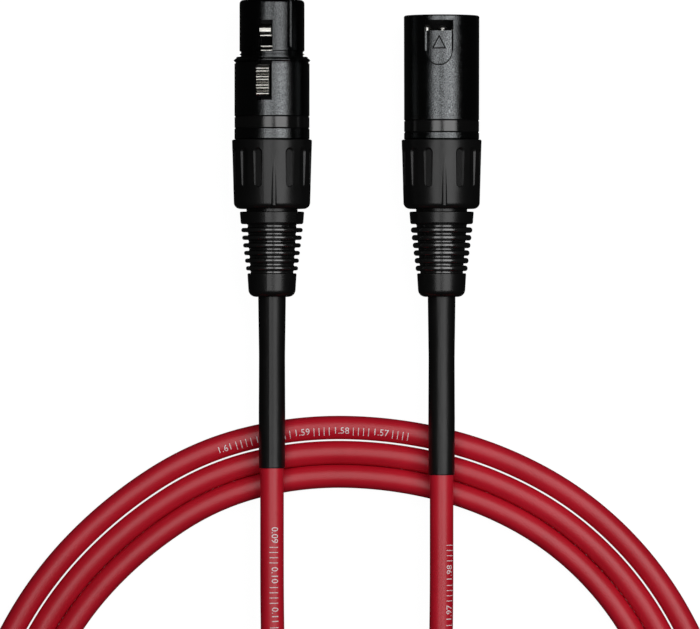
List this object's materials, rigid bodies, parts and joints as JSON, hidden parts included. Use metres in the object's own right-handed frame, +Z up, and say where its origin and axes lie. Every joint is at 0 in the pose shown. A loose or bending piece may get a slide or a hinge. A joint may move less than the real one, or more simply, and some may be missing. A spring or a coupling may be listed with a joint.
{
  "type": "xlr cable coil",
  "caption": "Balanced microphone cable coiled flat, with a latching female connector and a male connector on its sleeved leads.",
  "frame": {"origin": "on the surface it lies on, midway between the two connectors and midway along them", "axes": "+Y along both connectors towards their mating faces, +Z up, the female connector on the -X side"},
  "size_m": [0.1972, 0.3006, 0.02],
  "materials": {
    "shell": "satin black",
    "ring_plastic": "satin black",
    "insert_plastic": "matte black",
    "bushing_plastic": "satin black",
    "chuck_plastic": "natural nylon",
    "boot_rubber": "satin black",
    "shrink_sleeve": "satin black heat-shrink",
    "contact_metal": "plated",
    "pin_metal": "silver plated",
    "latch_steel": "bright nickel",
    "cable_jacket": "satin red PVC",
    "wire_screen": "sleeved screen",
    "wire_red": "red insulation",
    "wire_white": "white insulation"
  },
  "bodies": {
    "cable": {"female_housing": "shell", "female_insert": "insert_plastic", "female_contact_1": "contact_metal", "female_contact_2": "contact_metal", "female_contact_3": "contact_metal", "female_latch_pin": "latch_steel", "female_latch_spring": "latch_steel", "female_coding_ring": "ring_plastic", "female_sleeve": "shrink_sleeve", "female_wire_1": "wire_screen", "female_wire_2": "wire_red", "female_wire_3": "wire_white", "male_housing": "shell", "male_insert": "insert_plastic", "male_pin_1": "pin_metal", "male_pin_2": "pin_metal", "male_pin_3": "pin_metal", "male_coding_ring": "ring_plastic", "male_sleeve": "shrink_sleeve", "male_wire_1": "wire_screen", "male_wire_2": "wire_red", "male_wire_3": "wire_white", "cable_lead_female": "cable_jacket", "cable_coil": "cable_jacket", "cable_lead_male": "cable_jacket"},
    "latch": {"female_latch": "latch_steel"},
    "female_clamp": {"female_chuck": "chuck_plastic"},
    "female_backshell": {"female_bushing": "bushing_plastic", "female_boot": "boot_rubber"},
    "male_clamp": {"male_chuck": "chuck_plastic"},
    "male_backshell": {"male_bushing": "bushing_plastic", "male_boot": "boot_rubber"}
  },
  "joints": [
    {"name": "latch_press", "type": "hinge", "parent": "cable", "child": "latch", "pos_m": [-0.02247, 0.0095, 0.01617], "axis": [-0.9796, 0, -0.2011], "range_deg": [0, 4], "stiffness_Nm_per_rad": 0.25, "springref_deg": -2.86, "deforming": ["female_latch_spring"]},
    {"name": "female_clamp_back", "type": "slide", "parent": "cable", "child": "female_clamp", "axis": [0, -1, 0], "range_m": [0, 0.006]},
    {"name": "female_bushing_turn", "type": "hinge", "parent": "female_clamp", "child": "female_backshell", "pos_m": [-0.0212, -0.007, 0.01], "axis": [0, -1, 0], "range_deg": [0, 1440]},
    {"name": "male_clamp_back", "type": "slide", "parent": "cable", "child": "male_clamp", "axis": [0, -1, 0], "range_m": [0, 0.006]},
    {"name": "male_bushing_turn", "type": "hinge", "parent": "male_clamp", "child": "male_backshell", "pos_m": [0.0212, -0.007, 0.01], "axis": [0, -1, 0], "range_deg": [0, 1440]}
  ],
  "couplings": [
    {"joint": "female_bushing_turn", "follows": "female_clamp_back", "rad_per_m": 4188.8},
    {"joint": "male_bushing_turn", "follows": "male_clamp_back", "rad_per_m": 4188.8}
  ]
}
